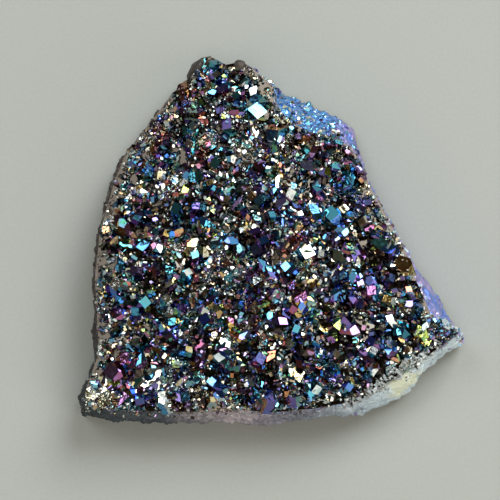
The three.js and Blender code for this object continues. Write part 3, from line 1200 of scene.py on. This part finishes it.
rock_faces = [face for face in rock_mesh.polygons if face.center.z > 0.35 * high.z and face.normal.z < 0.6]
rock_seats, spark_seats = [], []
for place, normal in places_on(rock_faces, ROCK_PITCH):
    ragged = place.z / high.z + 0.45 * noise.noise(place / FRINGE)
    if normal.dot(GLOW) > 0.5 or chance.uniform() > smooth_step(ragged, 0.55, 0.75):
        continue
    axis = leaning(normal, GRAIN_LEAN)
    stained_here = (place - STAIN).length < STAIN_REACH and chance.uniform() < 0.9
    if stained_here or chance.uniform() < 0.5 * paleness(place):
        continue
    tip = place + normal * chance.uniform(0.02, 0.10) * MM
    seat = (tip, axis, chance.uniform(0.12, 0.28) * MM, chance.choice(RIM_FILMS))
    (spark_seats if chance.uniform() < 0.4 - 0.36 * paleness(place) else rock_seats).append(seat)
grow("quartz_grains", rock_seats, broken_quartz)
grow("filmed_grains", spark_seats, filmed_quartz, facing=0.1, scatter=0.05)

# %% [markdown]
# ## Fine druse on the slopes
#
# On two sides the rock slopes out from under the crust, with a druse as fine as frost that took the
# film too, thick on the upper slope and thin on the long right one. A bump map would give it grain but
# no glitter, so each point is a real one.

# %% Druse on the slopes
DRUSE_PITCH = 0.26 * MM
SLOPE_LEAN = 50  # degrees, on the upper slope
WALL_LEAN = 25  # and on the right one


def druse_share(place):
    """How thick the druse is: whole on the upper slope, nearly so at the sharp corner."""
    if at_sharp_corner(place):
        return 0.8
    return 1 - 0.85 * smooth_step(place.x / high.x, 0.28, 0.4) if above_slope(place) else 0.12


slope_seats = []
for place, normal in places_on(rock_mesh.polygons, DRUSE_PITCH):
    lit = smooth_step(normal.dot(GLOW), 0.4, 0.65)
    lit *= smooth_step(place.x, -3 * MM, 0) * smooth_step(place.z, 3 * CLEAR, 7 * CLEAR)
    if is_covered(place) or chance.uniform() > lit or chance.uniform() > druse_share(place):
        continue
    upper = above_slope(place)
    largest = 0.28 + 0.24 * place.z / high.z  # mm
    size = (chance.uniform(0.12, largest) if upper else chance.uniform(0.10, 0.2)) * MM
    film = chance.choice(SLOPE_FILMS) if upper else chance.uniform(0.16, 0.36)
    film -= 0.1 * smooth_step(place.x / high.x, 0.25, 0.4) if upper else 0
    axis = leaning((normal + 0.5 * UP).normalized(), SLOPE_LEAN if upper else WALL_LEAN)
    slope_seats.append((place + normal * chance.uniform(0.05, 0.4) * size, axis, size, film))
grow("slope_druse", slope_seats, frosted_quartz, facing=0.3)

# %% [markdown]
# ## Fine druse at the sharp corner
#
# A carpet of fine crystals with a satin film covers the top of the sharp corner. They could have been
# part of the slopes' druse, but they stand on the crust and the crystals rather than on the rock.

# %% Druse at the sharp corner
SHARP_CORNER = across(0.945, 0.235)
CORNER_DRUSE = 2.6 * MM  # how far the fine druse reaches over the crust there
CORNER_PITCH = 0.24 * MM

corner_seats = []
for place, normal in scattered(filled, CORNER_PITCH):
    reach = CORNER_DRUSE * (0.85 + 0.5 * noise.noise(place / WAVE))
    if (place - SHARP_CORNER).xy.length < reach:
        size = chance.uniform(0.10, 0.26) * MM
        tip = place + normal * chance.uniform(0.2, 0.8) * size
        corner_seats.append((tip, leaning(normal, SLOPE_LEAN), size, chance.uniform(0.18, 0.36)))
grow("corner_druse", corner_seats, satin_quartz, facing=0.3)

# %% [markdown]
# ## Bare knobs
#
# At the narrow end two smooth knobs of the brown host rock stick out past the crystals. A sphere would
# look turned on a lathe, so an icosphere is stretched, and noise pushes it in and out.

# %% Bare knobs
KNOBS = [  # middle as shares of the slab, height and half sizes in mm, turn in degrees
    (0.307, 0.955, 6.4, (0.95, 2.0, 1.9), -35),
    (0.415, 0.958, 7.9, (0.8, 0.85, 0.9), 10),
]
LUMPS = ((1.0, 0.2), (0.35, 0.07))  # size and height of the lumps on them, in mm


def knob_mesh():
    """Stretched and dented balls."""
    bm = bmesh.new()
    for share_x, share_y, height, half_sizes, turn in KNOBS:
        ball = bmesh.ops.create_icosphere(bm, subdivisions=5, radius=MM)["verts"]
        bmesh.ops.scale(bm, verts=ball, vec=half_sizes)
        bmesh.ops.rotate(bm, verts=ball, matrix=Matrix.Rotation(math.radians(turn), 3, "Z"))
        bmesh.ops.translate(bm, verts=ball, vec=across(share_x, share_y) + height * MM * UP)
        for vertex in ball:
            swell = sum(rise * noise.noise(vertex.co / (size * MM)) for size, rise in LUMPS)
            vertex.co += vertex.normal * swell * MM
    return mesh_of(bm, "bare_knobs")


def brown_rock_material():
    """Dark brown rock with lighter veins."""
    shader = Shader("brown_rock")
    veins = shader.grain(0.7 * MM, detail=5, roughness=0.6).step(0.3, 0.7)
    colour = shader.mix(veins, (0.012, 0.009, 0.007), (0.070, 0.052, 0.035))
    bump = shader.node("Bump", {"Strength": 0.4, "Distance": 0.05 * MM, "Height": shader.grain(0.25 * MM)})
    return shader.finish(base_color=colour, roughness=veins * 0.2 + 0.42, normal=bump)


knobs_mesh = knob_mesh()
knobs_mesh.materials.append(brown_rock_material())
knobs_mesh.shade_smooth()
knobs = placed("bare_knobs", knobs_mesh)
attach(knobs, "root")
print("knobs", len(knobs_mesh.polygons), "faces")

# %% [markdown]
# ## The sizes
#
# Crystals and chips stick out of the packed solids a little.
